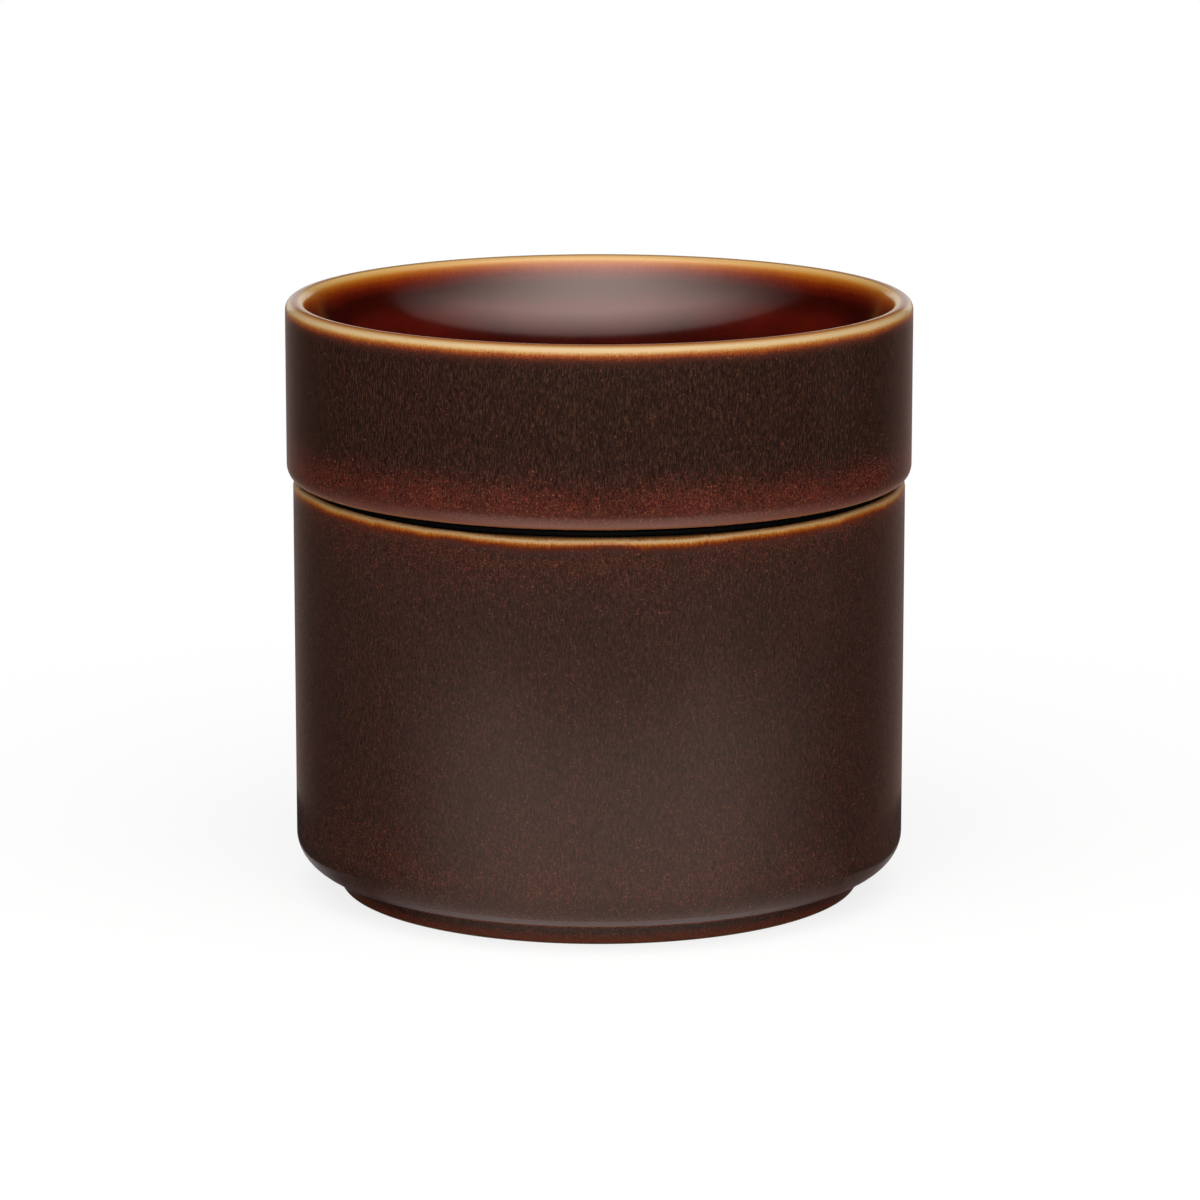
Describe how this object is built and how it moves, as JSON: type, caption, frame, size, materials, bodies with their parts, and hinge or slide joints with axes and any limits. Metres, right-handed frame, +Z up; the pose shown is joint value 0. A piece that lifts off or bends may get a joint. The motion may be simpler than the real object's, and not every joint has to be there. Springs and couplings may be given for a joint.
{
  "type": "lidded storage jar",
  "caption": "Round stoneware storage jar on a foot ring, with an overhanging bowl-shaped lid that plugs the mouth through a soft seal ring.",
  "frame": {"origin": "centre of the foot ring, on the surface that the jar stands on", "axes": "+Z up along the jar's axis, along which the lid lifts and about which it turns; the jar is round, so X and Y are any two level directions"},
  "size_m": [0.12, 0.12, 0.1144],
  "materials": {
    "jar_glaze": "satin dark chocolate-brown glaze that breaks to cream and amber on the rim, with fine vertical streaks and rust-red specks",
    "lid_glaze": "satin dark olive-brown glaze outside, glossy red-brown to near black in the bowl, cream and amber rim",
    "seal_rubber": "matte black moulded silicone"
  },
  "bodies": {
    "jar": {"jar_body": "jar_glaze"},
    "seal": {"seal_ring": "seal_rubber"},
    "lid": {"lid_bowl": "lid_glaze"}
  },
  "joints": [
    {"name": "lid_lift", "type": "slide", "parent": "jar", "child": "seal", "axis": [0, 0, 1], "range_m": [0, 0.09]},
    {"name": "lid_turn", "type": "hinge", "parent": "seal", "child": "lid", "pos_m": [0, 0, 0.0802], "axis": [0, 0, 1], "continuous": true}
  ]
}
